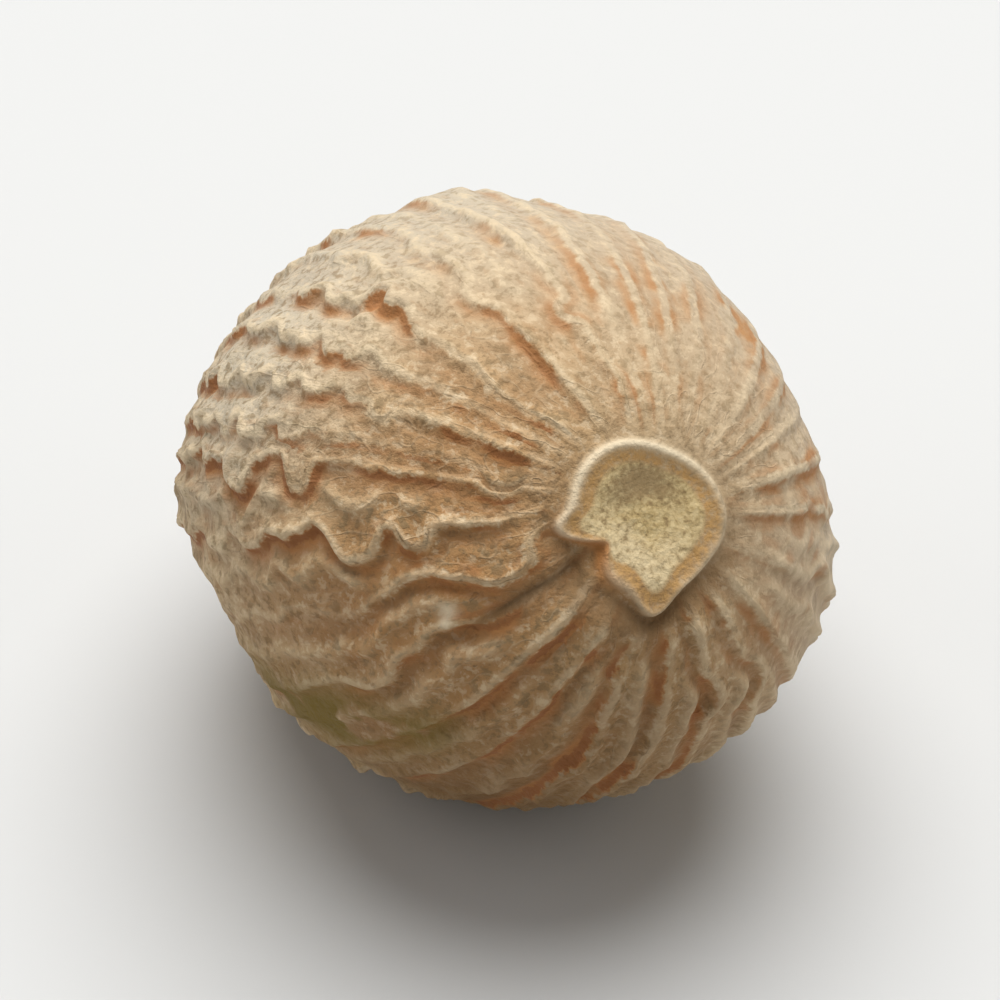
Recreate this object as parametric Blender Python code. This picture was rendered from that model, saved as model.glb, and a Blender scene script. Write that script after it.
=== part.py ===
"""A whole nutmeg: one solid seed, egg-shaped and wrinkled, with a raised ring round the scar at one end.

A place on the seed is a polar angle, 0 at the scar and 180 at the tail, and an azimuth round the long axis.
The folds of the seed coat run from the scar to the tail like meridians. The columns of the mesh follow them,
so each crest, crease and floor has mesh edges of its own. All angles are in degrees, all lengths in metres.
"""

import bpy
import numpy as np
from mathutils import Matrix

MM = 0.001
SEED = 7

# The bare seed, before any relief: half of its length, breadth and thickness.
HALF_LENGTH = 13.1 * MM
HALF_BREADTH = 11.03 * MM
HALF_THICKNESS = 10.07 * MM
BROAD_AZIMUTH = 159.0
BLUNTNESS = 0.06

# How it lies: the scar looks up and forwards, and the seed is turned about its own long axis.
SCAR_LIFT = 37.4
SCAR_HEADING = 29.6
OWN_TURN = -19.7

# Broad hollows and swellings: azimuth, polar angle, reach, height.
SWELLINGS = (
    (208.0, 110.0, 3.0 * MM, -0.35 * MM),
    (209.0, 110.0, 1.5 * MM, -0.55 * MM),
    (22.0, 70.0, 4.2 * MM, -0.88 * MM),
    (97.0, 91.0, 2.0 * MM, 0.50 * MM),
    (138.0, 106.0, 3.0 * MM, -0.25 * MM),
    (336.0, 70.0, 3.0 * MM, 0.15 * MM),
    (345.0, 140.0, 5.5 * MM, -0.45 * MM),
    (120.0, 150.0, 5.0 * MM, 0.35 * MM),
    (266.0, 104.0, 5.0 * MM, 0.30 * MM),
    (246.0, 20.5, 1.3 * MM, 0.36 * MM),
)

# The scar: a dish in a raised ring, with a corner where the seam leaves it, a notch beside that and a point.
RING_POLAR = 13.8
RING_CORNERS = (
    (75.0, 44.0, -3.0),
    (15.0, 40.0, -1.5),
    (193.0, 10.0, 2.9),
    (216.0, 12.0, -3.4),
    (271.0, 13.0, 4.3),
    (322.0, 20.0, -0.8),
)
RING_FOLLOWED_TO = 32.0
RING_HEIGHT = 0.16 * MM
RING_WIDTH = 0.22 * MM
DISH_DEPTH = 0.44 * MM
DISH_FLOOR_POLAR = 4.0
WALL_SPAN = 1.5
WALL_BROADENINGS = ((222.0, 16.0, 4.6), (250.0, 14.0, 1.8))
NOTCH_AZIMUTH = 218.0
NOTCH_SPREAD = 17.0
NOTCH_DROP = 0.30 * MM
NOTCH_FROM_TO = (0.0, 1.5)
NOTCH_RING_LOSS = 0.8
MOAT_DEPTH = 0.30 * MM
MOAT_SPAN = 4.2
MOAT_AZIMUTH = 268.0
MOAT_SPREAD = 75.0

# The folds of the coat. The steep side of each crest faces towards LEAN_AZIMUTH.
FOLD_AZIMUTHS = (
    2, 15, 27, 37, 46, 56, 67, 75, 83, 92, 104, 119, 138, 148,
    157, 166, 172, 187, 204, 219, 234, 247, 266, 280, 293, 308, 323, 340,
)  # fmt: skip
FOLD_HEIGHT = 0.34 * MM
FOLD_SHARE = 0.82
FOLD_SHARE_SWING = 0.26
FOLD_SHARE_RATE = (3.0, 6.0)
FOLD_ROOM = 1.9 * MM
FOLD_START = (14.5, 23.0)
FOLD_END = (150.0, 172.0)
LEAN_AZIMUTH = 258.0
LEAN_BLEND = 12.0
STEEP_WIDTH = 0.23 * MM
GENTLE_WIDTH = 0.62 * MM
EDGE_SHARE = 0.5
CREASE_DEPTH = 0.36
CREASE_AT = 0.50 * MM
CREASE_WIDTH = 0.20 * MM
PILLOW_HEIGHT = 0.09 * MM

# How the folds wander, as a share of their room: a slow sway, and steps sideways that are taken quickly.
SWAY = 0.13
SWAY_WAVES = ((0.65, 2.6), (0.35, 5.3))
CRENEL = 0.16
CRENEL_LENGTH = (9.0, 15.0)
CRENEL_SQUARENESS = 2.6
CRENEL_DRIFT = 1.2
LEAST_GAP = 2.2

# Where a fold swings aside and comes back: fold number, polar angle, reach, shift in azimuth.
SWINGS = (
    (10, 22.0, 5.0, -3.0), (10, 38.5, 2.5, 4.5), (11, 48.5, 3.5, 3.5), (11, 66.0, 3.0, 2.0),
    (12, 30.0, 6.0, 3.0), (12, 56.0, 4.0, -3.0), (12, 61.0, 2.0, -5.0), (13, 54.0, 3.0, -1.5),
    (14, 48.4, 2.0, 4.8), (15, 26.0, 3.5, 7.0), (16, 61.7, 2.1, 6.5), (16, 77.0, 3.5, 7.0),
    (17, 40.0, 2.4, 7.0), (17, 50.5, 4.5, 7.0), (17, 61.0, 3.5, -2.0), (18, 27.0, 5.0, 5.0),
    (18, 41.0, 5.0, -3.5), (18, 57.0, 5.0, 3.0), (19, 42.0, 5.0, -3.0), (19, 60.0, 6.0, 4.0),
    (22, 27.0, 6.0, -2.0), (22, 48.0, 7.0, 2.0), (24, 38.0, 4.0, 4.0), (25, 41.0, 5.0, 5.0),
    (27, 45.0, 6.0, 3.0),
)  # fmt: skip

# Where the folds are stepped and linked, and where they are low: azimuth, polar angle, reaches, strength.
CRENEL_REGIONS = (
    (168.0, 80.0, 34.0, 24.0, 1.0),
    (352.0, 44.0, 18.0, 13.0, 0.5),
    (40.0, 128.0, 60.0, 26.0, 0.7),
    (300.0, 128.0, 60.0, 28.0, 0.6),
)
LOW_REGIONS = (
    (52.0, 54.0, 44.0, 44.0, 0.66),
    (222.0, 90.0, 24.0, 26.0, 0.30),
    (300.0, 84.0, 50.0, 22.0, 0.35),
    (284.0, 40.0, 46.0, 24.0, -0.60),
    (164.0, 46.0, 5.0, 10.0, 0.55),
    (20.0, 150.0, 70.0, 28.0, 0.3),
    (344.0, 72.0, 34.0, 20.0, 0.5),
)
LINKS_IN_GAP = 6
LINK_HEIGHT = 0.22 * MM
LINK_WIDTH = 0.26 * MM
LINK_FROM_TO = (34.0, 145.0)
LINK_SLANT = (-5.0, 5.0)
LINK_SHARE = (0.2, 1.0)

# The seam: the strongest fold, which leaves the scar's corner and has a groove below it.
SEAM_FOLD = 18
SEAM_STRENGTH = 1.15
SEAM_FADE = 0.75
SEAM_FADE_FROM_TO = (40.0, 56.0)
SEAM_START = (13.5, 21.0)
SEAM_BEND = 16.0
SEAM_BEND_POLAR = 15.0
SEAM_BEND_LENGTH = 6.5
SEAM_BEND_SPREAD = 24.0
GROOVE_AZIMUTH = 218.0
GROOVE_DEPTH = 0.34 * MM
GROOVE_WIDTH = 0.22 * MM
GROOVE_FROM = (15.0, 20.0)
GROOVE_TO = (30.0, 44.0)

# The tail: a small dimple.
TAIL_DIMPLE_DEPTH = 0.45 * MM
TAIL_DIMPLE_WIDTH = 1.1 * MM

# The flat worn spot that it rests on: how deep it cuts, and how far round it the folds are worn down.
REST_CUT = 0.50 * MM
WORN_REACH = (3.2 * MM, 6.0 * MM)

# The height of a fold wavers along it: the distance between turns, in degrees, and the share of its height.
WAVER_STEP = 4.0
WAVER = 0.45

# The length of one radian of polar angle along the coat, about.
POLAR_ARC = 12.0 * MM

# The mesh: rows by polar angle, and columns at four places in the gap between two crests.
SCAR_ROWS = (4.0, 7.5, 10.4, 12.4, 13.8, 15.4, 17.6, 19.6, 22.0)
NEAR_ROWS = (24.6, 94.0, 22)
FAR_ROWS = (99.5, 176.0, 12)
COLUMN_SHARES = (0.0, 0.24, 0.50, 0.76)

SHELL_COLOUR = (0.42, 0.29, 0.17, 1.0)
SHELL_ROUGHNESS = 0.8


def bell(distance, width):
    """1 at the middle, falling off on both sides as a Gaussian."""
    return np.exp(-((distance / width) ** 2))


def ramp(low, high, value):
    """0 below low and 1 above high, with an even S-curve between."""
    share = np.clip((value - low) / (high - low), 0.0, 1.0)
    return share * share * (3.0 - 2.0 * share)


def around(azimuth, centre):
    """The signed angle from centre to azimuth, the short way round."""
    return (azimuth - centre + 180.0) % 360.0 - 180.0


def patch(azimuth, polar, regions):
    """The sum of soft oval patches, each with its own centre, reaches and strength."""
    total = np.zeros(np.broadcast_shapes(np.shape(azimuth), np.shape(polar)))
    for middle, middle_polar, reach, reach_polar, strength in regions:
        oval = bell(around(azimuth, middle), reach) * bell(polar - middle_polar, reach_polar)
        total = total + strength * oval
    return total


def uneven(polar, step, seed):
    """A random zigzag along each fold, from -1 to 1: straight lines between values that are a step apart."""
    random = np.random.default_rng(seed)
    knots = np.arange(0.0, 180.0 + step, step)
    values = random.uniform(-1.0, 1.0, (len(FOLD_AZIMUTHS), len(knots)))
    shifts = random.uniform(0.0, step, len(FOLD_AZIMUTHS))
    return np.stack([np.interp(polar, knots - shift, row) for row, shift in zip(values, shifts)])


def crenel_share(azimuth, polar):
    """How strongly the folds are stepped and linked at a place, from 0 to 1."""
    return np.clip(patch(azimuth, polar, CRENEL_REGIONS), 0.0, 1.0)


def fold_paths(polar):
    """Azimuth of every crest at every polar angle, one row per fold and the first again at the end.

    A path is its base azimuth, less the bend that draws the folds beside the seam to the scar's corner, plus
    a slow sway, plus steps, plus its own swings. The steps are a sine pressed towards a square wave, so that
    the crest runs on, steps aside and runs on; a swing is exp(-(distance / reach)^4).
    """
    random = np.random.default_rng(SEED)
    base = np.array(FOLD_AZIMUTHS, float)
    gap = np.diff(np.append(base, base[0] + 360.0))
    room = np.minimum(gap, np.roll(gap, 1))[:, None]
    base = base[:, None]
    waves = random.uniform(0.0, 360.0, (len(base), 3))
    length = random.uniform(*CRENEL_LENGTH, len(base))[:, None]
    (slow, slow_rate), (quick, quick_rate) = SWAY_WAVES
    sway = slow * np.sin(np.radians(slow_rate * polar + waves[:, :1]))
    sway = sway + quick * np.sin(np.radians(quick_rate * polar + waves[:, 1:2]))
    beat = np.sin(2.0 * np.pi * polar / length + np.radians(waves[:, 2:]) + CRENEL_DRIFT * sway)
    steps = np.tanh(CRENEL_SQUARENESS * beat) * crenel_share(base, polar)
    near_seam = bell(around(base, FOLD_AZIMUTHS[SEAM_FOLD]), SEAM_BEND_SPREAD)
    bend = SEAM_BEND * bell(polar - SEAM_BEND_POLAR, SEAM_BEND_LENGTH) * near_seam
    paths = base - bend + room * ramp(*FOLD_START, polar) * (SWAY * sway + CRENEL * steps)
    for fold, middle, reach, shift in SWINGS:
        paths[fold] += shift * np.exp(-(((polar - middle) / reach) ** 4))
    for fold in range(1, len(paths)):
        paths[fold] = np.maximum(paths[fold], paths[fold - 1] + LEAST_GAP)
    return np.vstack([paths, paths[:1] + 360.0])


def fold_strengths(polar):
    """How high each fold stands along its path, as a share of FOLD_HEIGHT."""
    random = np.random.default_rng(SEED + 1)
    base = np.array(FOLD_AZIMUTHS, float)[:, None]
    phase = random.uniform(0.0, 360.0, base.shape)
    rate = random.uniform(*FOLD_SHARE_RATE, base.shape)
    strength = FOLD_SHARE + FOLD_SHARE_SWING * np.sin(np.radians(rate * polar + phase))
    strength = strength * (1.0 + WAVER * uneven(polar, WAVER_STEP, SEED + 5))
    strength = strength * (1.0 - patch(base, polar, LOW_REGIONS))
    strength = strength * ramp(*FOLD_START, polar) * (1.0 - ramp(*FOLD_END, polar))
    faded = 1.0 - SEAM_FADE * ramp(*SEAM_FADE_FROM_TO, polar)
    strength[SEAM_FOLD] = SEAM_STRENGTH * ramp(*SEAM_START, polar) * faded
    return np.vstack([strength, strength[:1]])


def crest(distance, steepness):
    """Cross-section of one side of a fold: the steep side falls into a crease, the gentle one runs out."""
    edge = bell(distance, STEEP_WIDTH)
    steep = edge - CREASE_DEPTH * bell(distance - CREASE_AT, CREASE_WIDTH)
    gentle = EDGE_SHARE * edge + (1.0 - EDGE_SHARE) * bell(distance, GENTLE_WIDTH)
    return steepness * steep + (1.0 - steepness) * gentle


def fold_relief(azimuth, share, gap, nearer, farther):
    """Height of the folds: each point adds the crest before it, the crest after it and the floor between.

    The side that faces LEAN_AZIMUTH is the steep one; near that azimuth and opposite it both are alike.
    Where two crests are close together, both are made narrower and lower to fit the gap.
    """
    squeeze = np.minimum(1.0, gap / FOLD_ROOM)
    across = np.maximum(gap, FOLD_ROOM)
    below = around(LEAN_AZIMUTH, azimuth)
    lean = np.tanh(below / LEAN_BLEND) * np.tanh((180.0 - abs(below)) / LEAN_BLEND)
    before = nearer * crest(share * across, 0.5 + 0.5 * lean)
    after = farther * crest((1.0 - share) * across, 0.5 - 0.5 * lean)
    floor = (nearer + farther) * 2.0 * share * (1.0 - share)
    return squeeze * (FOLD_HEIGHT * (before + after) + PILLOW_HEIGHT * floor)


def link_relief(polar, fold, share, gap):
    """Height of the short cross-folds that tie neighbouring crests, at scattered polar angles in each gap."""
    random = np.random.default_rng(SEED + 2)
    height = np.zeros(gap.shape)
    count = len(FOLD_AZIMUTHS)
    base = np.array(FOLD_AZIMUTHS, float)
    for _ in range(LINKS_IN_GAP):
        place = random.uniform(*LINK_FROM_TO, count)[fold]
        slant = random.uniform(*LINK_SLANT, count)[fold]
        strength = random.uniform(*LINK_SHARE, count)[fold] * crenel_share(base[fold], place)
        away = np.radians(polar[:, None] - place - slant * (share - 0.5)) * POLAR_ARC
        height = np.maximum(height, strength * bell(away, LINK_WIDTH))
    return LINK_HEIGHT * height * ramp(0.0, FOLD_ROOM, gap)


def ring_offset(azimuth):
    """How far the ring's crest lies beyond RING_POLAR at each azimuth."""
    return sum(height * bell(around(azimuth, middle), reach) for middle, reach, height in RING_CORNERS)


def wall_span(azimuth):
    """How broad the outer wall of the ring is at each azimuth, in degrees of polar angle."""
    more = sum(extra * bell(around(azimuth, middle), reach) for middle, reach, extra in WALL_BROADENINGS)
    return WALL_SPAN + more


def scar_relief(nominal, polar, azimuth):
    """Height of the dish, the ring round it and the moat outside; nominal is RING_POLAR on the ring's crest.

    The dish is a round bowl with an S-shaped side. The ring is a Gaussian towards the dish and falls away
    outside as an S-curve as broad as wall_span, at whose foot the moat lies on the lower side. In the notch
    the ring is only the edge of a small cliff.
    """
    out = nominal - RING_POLAR
    notch = bell(around(azimuth, NOTCH_AZIMUTH), NOTCH_SPREAD)
    dish = -DISH_DEPTH * (1.0 - ramp(DISH_FLOOR_POLAR, RING_POLAR, polar))
    inside = bell(np.radians(out) * HALF_BREADTH, RING_WIDTH)
    fall = ramp(0.0, wall_span(azimuth), out)
    ring = RING_HEIGHT * np.where(out < 0.0, inside, 1.0 - fall) * (1.0 - NOTCH_RING_LOSS * notch)
    rise = ramp(wall_span(azimuth), wall_span(azimuth) + MOAT_SPAN, out)
    moat = -MOAT_DEPTH * fall * (1.0 - rise) * bell(around(azimuth, MOAT_AZIMUTH), MOAT_SPREAD)
    cliff = -NOTCH_DROP * notch * ramp(*NOTCH_FROM_TO, out) * (1.0 - rise)
    return dish + ring + moat + cliff


def groove_relief(polar, azimuth, radius):
    """Depth of the groove that runs beside the seam."""
    across = np.radians(around(azimuth, GROOVE_AZIMUTH)) * radius
    along = ramp(*GROOVE_FROM, polar) * (1.0 - ramp(*GROOVE_TO, polar))
    return -GROOVE_DEPTH * bell(across, GROOVE_WIDTH) * along


def bare_seed(polar, azimuth):
    """Points and outward directions of the smooth seed: an ellipsoid, fuller towards the scar."""
    turned = np.radians(azimuth - BROAD_AZIMUTH)
    polar = np.radians(polar)
    fuller = 1.0 + BLUNTNESS * np.cos(polar)
    broad = HALF_BREADTH * fuller * np.sin(polar) * np.cos(turned)
    thick = HALF_THICKNESS * fuller * np.sin(polar) * np.sin(turned)
    along = HALF_LENGTH * np.cos(polar) * np.ones_like(turned)
    out = np.stack([broad / HALF_BREADTH**2, thick / HALF_THICKNESS**2, along / HALF_LENGTH**2], axis=-1)
    out /= np.linalg.norm(out, axis=-1, keepdims=True)
    points = np.stack([broad, thick, along], axis=-1)
    back = np.array(Matrix.Rotation(np.radians(BROAD_AZIMUTH), 3, "Z"))
    return points @ back.T, out @ back.T


def lie_down():
    """The turn that brings the seed's own axes to the way it lies."""
    turn = Matrix.Rotation(np.radians(SCAR_HEADING), 3, "Z")
    turn = turn @ Matrix.Rotation(np.radians(90.0 - SCAR_LIFT), 3, "X")
    return np.array(turn @ Matrix.Rotation(np.radians(OWN_TURN), 3, "Z"))


def swell(points):
    """Height of the broad hollows and swellings, by distance from the middle of each."""
    height = np.zeros(points.shape[:-1])
    for azimuth, polar, reach, rise in SWELLINGS:
        middle, _ = bare_seed(np.array(polar), np.array(azimuth))
        height += rise * bell(np.linalg.norm(points - middle, axis=-1), reach)
    return height


def seed_points():
    """The grid of points, rows from scar to tail without the two ends, in the way that the seed lies."""
    nominal = np.concatenate([SCAR_ROWS, np.linspace(*NEAR_ROWS), np.linspace(*FAR_ROWS)])
    fold = np.repeat(np.arange(len(FOLD_AZIMUTHS)), len(COLUMN_SHARES))[None, :]
    share = np.tile(COLUMN_SHARES, len(FOLD_AZIMUTHS))[None, :]
    paths = fold_paths(nominal)
    strengths = fold_strengths(nominal)
    row = np.arange(len(nominal))[:, None]
    azimuth = (1.0 - share) * paths[fold, row] + share * paths[fold + 1, row]
    follow = ramp(0.0, RING_POLAR, nominal) * (1.0 - ramp(RING_POLAR, RING_FOLLOWED_TO, nominal))
    polar = nominal[:, None] + ring_offset(azimuth) * follow[:, None]
    points, out = bare_seed(polar, azimuth)
    radius = (HALF_BREADTH + HALF_THICKNESS) / 2.0 * np.sin(np.radians(nominal))[:, None]
    gap = np.radians(paths[fold + 1, row] - paths[fold, row]) * radius
    coat = fold_relief(azimuth, share, gap, strengths[fold, row], strengths[fold + 1, row])
    coat = np.maximum(coat, link_relief(nominal, fold, share, gap)) + groove_relief(polar, azimuth, radius)
    coat += scar_relief(nominal[:, None], polar, azimuth)
    tail = TAIL_DIMPLE_DEPTH * bell(np.radians(180.0 - polar) * HALF_BREADTH, TAIL_DIMPLE_WIDTH)
    turn = lie_down()
    lying = points @ turn.T
    lowest = lying[np.unravel_index(np.argmin(lying[..., 2]), lying.shape[:2])]
    worn = 1.0 - ramp(*WORN_REACH, np.linalg.norm(lying - lowest, axis=-1))
    height = swell(points) + coat * (1.0 - worn) - tail
    ends = np.array([[0.0, 0.0, HALF_LENGTH - DISH_DEPTH], [0.0, 0.0, TAIL_DIMPLE_DEPTH - HALF_LENGTH]])
    return lying + height[..., None] * (out @ turn.T), ends @ turn.T


def set_down(grid, ends):
    """Flattens the lowest stretch into the spot that the seed rests on, and puts its foot at the origin."""
    floor = grid[..., 2].min() + REST_CUT
    grid[..., 2] = np.maximum(grid[..., 2], floor)
    low = np.minimum(grid.min(axis=(0, 1)), ends.min(axis=0))
    high = np.maximum(grid.max(axis=(0, 1)), ends.max(axis=0))
    foot = np.array([(low[0] + high[0]) / 2.0, (low[1] + high[1]) / 2.0, floor])
    return grid - foot, ends - foot


def closed_skin(rows, columns):
    """Faces of a grid wrapped into a ball: rows of quads, and a fan of triangles at each end."""
    start = np.arange(rows * columns).reshape(rows, columns)
    nearer, farther = start[:-1], start[1:]
    quads = np.stack([nearer, farther, np.roll(farther, -1, 1), np.roll(nearer, -1, 1)], axis=-1)
    top, tail = rows * columns, rows * columns + 1
    first, last = start[0], start[-1]
    cap = [(top, int(a), int(b)) for a, b in zip(first, np.roll(first, -1))]
    end = [(tail, int(b), int(a)) for a, b in zip(last, np.roll(last, -1))]
    return [tuple(map(int, quad)) for quad in quads.reshape(-1, 4)] + cap + end


def shell_material():
    material = bpy.data.materials.new("seed_coat")
    material.use_nodes = True
    shader = material.node_tree.nodes["Principled BSDF"]
    shader.inputs["Base Color"].default_value = SHELL_COLOUR
    shader.inputs["Roughness"].default_value = SHELL_ROUGHNESS
    shader.inputs["Metallic"].default_value = 0.0
    return material


def make_nutmeg():
    grid, ends = set_down(*seed_points())
    rows, columns, _ = grid.shape
    mesh = bpy.data.meshes.new("nutmeg")
    mesh.from_pydata(np.vstack([grid.reshape(-1, 3), ends]).tolist(), [], closed_skin(rows, columns))
    mesh.shade_smooth()
    mesh.materials.append(shell_material())
    nutmeg = bpy.data.objects.new("nutmeg", mesh)
    bpy.context.scene.collection.objects.link(nutmeg)


for leftover in list(bpy.data.objects):
    bpy.data.objects.remove(leftover, do_unlink=True)
make_nutmeg()
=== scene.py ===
"""A whole nutmeg on a pale floor: the wrinkled seed coat, the ring and dish of the scar, and their finish.

A place on the seed is a nominal polar angle, 0 at the scar and 180 at the tail, and an azimuth round the
long axis. Every surface here is a grid of those two numbers, worked out as whole arrays. All angles are in
degrees and all lengths in metres.
"""

import bpy
import numpy as np
from mathutils import Matrix, Vector


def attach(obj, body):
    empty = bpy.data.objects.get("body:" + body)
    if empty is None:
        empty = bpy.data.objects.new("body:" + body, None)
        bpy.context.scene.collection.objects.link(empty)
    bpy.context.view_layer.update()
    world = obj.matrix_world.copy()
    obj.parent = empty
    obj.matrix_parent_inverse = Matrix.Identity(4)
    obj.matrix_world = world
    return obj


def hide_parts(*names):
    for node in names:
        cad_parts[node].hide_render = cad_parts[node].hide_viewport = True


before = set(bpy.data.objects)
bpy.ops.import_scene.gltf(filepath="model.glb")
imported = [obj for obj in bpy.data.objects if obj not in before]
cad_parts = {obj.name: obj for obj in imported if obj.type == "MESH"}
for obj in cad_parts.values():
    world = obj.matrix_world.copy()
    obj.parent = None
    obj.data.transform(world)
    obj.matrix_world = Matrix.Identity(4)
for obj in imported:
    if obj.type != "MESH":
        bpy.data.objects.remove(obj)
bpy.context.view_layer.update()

MM = 0.001
SEED = 7

# ---------------------------------------------------------------- sizes of the seed, as in its solid
HALF_LENGTH = 13.1 * MM
HALF_BREADTH = 11.03 * MM
HALF_THICKNESS = 10.07 * MM
BROAD_AZIMUTH = 159.0
BLUNTNESS = 0.06
SCAR_LIFT = 37.4
SCAR_HEADING = 29.6
OWN_TURN = -19.7

# Broad hollows and swellings: azimuth, polar angle, reach, height.
SWELLINGS = (
    (208.0, 110.0, 3.0 * MM, -0.35 * MM),
    (209.0, 110.0, 1.5 * MM, -0.55 * MM),
    (22.0, 70.0, 4.2 * MM, -0.88 * MM),
    (97.0, 91.0, 2.0 * MM, 0.50 * MM),
    (138.0, 106.0, 3.0 * MM, -0.25 * MM),
    (336.0, 70.0, 3.0 * MM, 0.15 * MM),
    (345.0, 140.0, 5.5 * MM, -0.45 * MM),
    (120.0, 150.0, 5.0 * MM, 0.35 * MM),
    (266.0, 104.0, 5.0 * MM, 0.30 * MM),
    (246.0, 20.5, 1.3 * MM, 0.36 * MM),
)

# The scar: a dish in a raised ring, with a corner where the seam leaves it, a notch beside that and a point.
RING_POLAR = 13.8
RING_CORNERS = (
    (75.0, 44.0, -3.0),
    (15.0, 40.0, -1.5),
    (193.0, 10.0, 2.9),
    (216.0, 12.0, -3.4),
    (271.0, 13.0, 4.3),
    (322.0, 20.0, -0.8),
)
RING_FOLLOWED_TO = 32.0
RING_HEIGHT = 0.16 * MM
RING_WIDTH = 0.22 * MM
DISH_DEPTH = 0.44 * MM
DISH_FLOOR_POLAR = 4.0
WALL_SPAN = 1.5
WALL_BROADENINGS = ((222.0, 16.0, 4.6), (250.0, 14.0, 1.8))
NOTCH_AZIMUTH = 218.0
NOTCH_SPREAD = 17.0
NOTCH_DROP = 0.30 * MM
NOTCH_FROM_TO = (0.0, 1.5)
NOTCH_RING_LOSS = 0.8
MOAT_DEPTH = 0.30 * MM
MOAT_SPAN = 4.2
MOAT_AZIMUTH = 268.0
MOAT_SPREAD = 75.0

# The folds of the coat. The steep side of each crest faces towards LEAN_AZIMUTH.
FOLD_AZIMUTHS = (
    2, 15, 27, 37, 46, 56, 67, 75, 83, 92, 104, 119, 138, 148,
    157, 166, 172, 187, 204, 219, 234, 247, 266, 280, 293, 308, 323, 340,
)  # fmt: skip
FOLD_HEIGHT = 0.34 * MM
FOLD_SHARE = 0.82
FOLD_SHARE_SWING = 0.26
FOLD_SHARE_RATE = (3.0, 6.0)
FOLD_ROOM = 1.9 * MM
FOLD_START = (14.5, 23.0)
FOLD_END = (150.0, 172.0)
# The rust-brown and painted shade of the walls also go on the side facing LEAN_AZIMUTH, the lower side.
LEAN_AZIMUTH = 258.0
LEAN_BLEND = 12.0
STEEP_WIDTH = 0.23 * MM
GENTLE_WIDTH = 0.62 * MM
EDGE_SHARE = 0.5
CREASE_DEPTH = 0.36
CREASE_AT = 0.50 * MM
CREASE_WIDTH = 0.20 * MM
PILLOW_HEIGHT = 0.09 * MM

# How the folds wander, as a share of their room: a slow sway, and steps sideways that are taken quickly.
SWAY = 0.13
SWAY_WAVES = ((0.65, 2.6), (0.35, 5.3))
CRENEL = 0.16
CRENEL_LENGTH = (9.0, 15.0)
CRENEL_SQUARENESS = 2.6
CRENEL_DRIFT = 1.2
LEAST_GAP = 2.2

# Where a fold swings aside and comes back: fold number, polar angle, reach, shift in azimuth.
SWINGS = (
    (10, 22.0, 5.0, -3.0), (10, 38.5, 2.5, 4.5), (11, 48.5, 3.5, 3.5), (11, 66.0, 3.0, 2.0),
    (12, 30.0, 6.0, 3.0), (12, 56.0, 4.0, -3.0), (12, 61.0, 2.0, -5.0), (13, 54.0, 3.0, -1.5),
    (14, 48.4, 2.0, 4.8), (15, 26.0, 3.5, 7.0), (16, 61.7, 2.1, 6.5), (16, 77.0, 3.5, 7.0),
    (17, 40.0, 2.4, 7.0), (17, 50.5, 4.5, 7.0), (17, 61.0, 3.5, -2.0), (18, 27.0, 5.0, 5.0),
    (18, 41.0, 5.0, -3.5), (18, 57.0, 5.0, 3.0), (19, 42.0, 5.0, -3.0), (19, 60.0, 6.0, 4.0),
    (22, 27.0, 6.0, -2.0), (22, 48.0, 7.0, 2.0), (24, 38.0, 4.0, 4.0), (25, 41.0, 5.0, 5.0),
    (27, 45.0, 6.0, 3.0),
)  # fmt: skip

# Where the folds are stepped and linked, and where they are low: azimuth, polar angle, reaches, strength.
CRENEL_REGIONS = (
    (168.0, 80.0, 34.0, 24.0, 1.0),
    (352.0, 44.0, 18.0, 13.0, 0.5),
    (40.0, 128.0, 60.0, 26.0, 0.7),
    (300.0, 128.0, 60.0, 28.0, 0.6),
)
LOW_REGIONS = (
    (52.0, 54.0, 44.0, 44.0, 0.66),
    (222.0, 90.0, 24.0, 26.0, 0.30),
    (300.0, 84.0, 50.0, 22.0, 0.35),
    (284.0, 40.0, 46.0, 24.0, -0.60),
    (164.0, 46.0, 5.0, 10.0, 0.55),
    (20.0, 150.0, 70.0, 28.0, 0.3),
    (344.0, 72.0, 34.0, 20.0, 0.5),
)
LINKS_IN_GAP = 6
LINK_HEIGHT = 0.22 * MM
LINK_WIDTH = 0.26 * MM
LINK_FROM_TO = (34.0, 145.0)
LINK_SLANT = (-5.0, 5.0)
LINK_SHARE = (0.2, 1.0)
LINK_SHOWN = (0.4, 0.9)

# The seam: the strongest fold, which leaves the scar's corner and has a groove below it.
SEAM_FOLD = 18
SEAM_STRENGTH = 1.15
SEAM_FADE = 0.75
SEAM_FADE_FROM_TO = (40.0, 56.0)
SEAM_START = (13.5, 21.0)
SEAM_BEND = 16.0
SEAM_BEND_POLAR = 15.0
SEAM_BEND_LENGTH = 6.5
SEAM_BEND_SPREAD = 24.0
GROOVE_AZIMUTH = 218.0
GROOVE_DEPTH = 0.34 * MM
GROOVE_WIDTH = 0.22 * MM
GROOVE_FROM = (15.0, 20.0)
GROOVE_TO = (30.0, 44.0)

# The dimple at the tail, and the flat worn spot below: how deep it cuts, and how far round it folds are worn.
TAIL_DIMPLE_DEPTH = 0.45 * MM
TAIL_DIMPLE_WIDTH = 1.1 * MM
REST_CUT = 0.50 * MM
WORN_REACH = (3.2 * MM, 6.0 * MM)

# ---------------------------------------------------------------- the finer grid
# Rows by polar angle: from, to and how many. Columns by the gap between two folds.
SCAR_ROWS = (0.8, 22.0, 40)
NEAR_ROWS = (22.6, 100.0, 115)
FAR_ROWS = (101.0, 178.6, 66)
COLUMNS_PER_DEGREE = 1.22
FEWEST_IN_GAP = 9

# The length of one radian of polar angle along the coat, about, and how many rows off a crest is looked for.
POLAR_ARC = 12.0 * MM
DISTANCE_ROWS = 9

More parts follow.
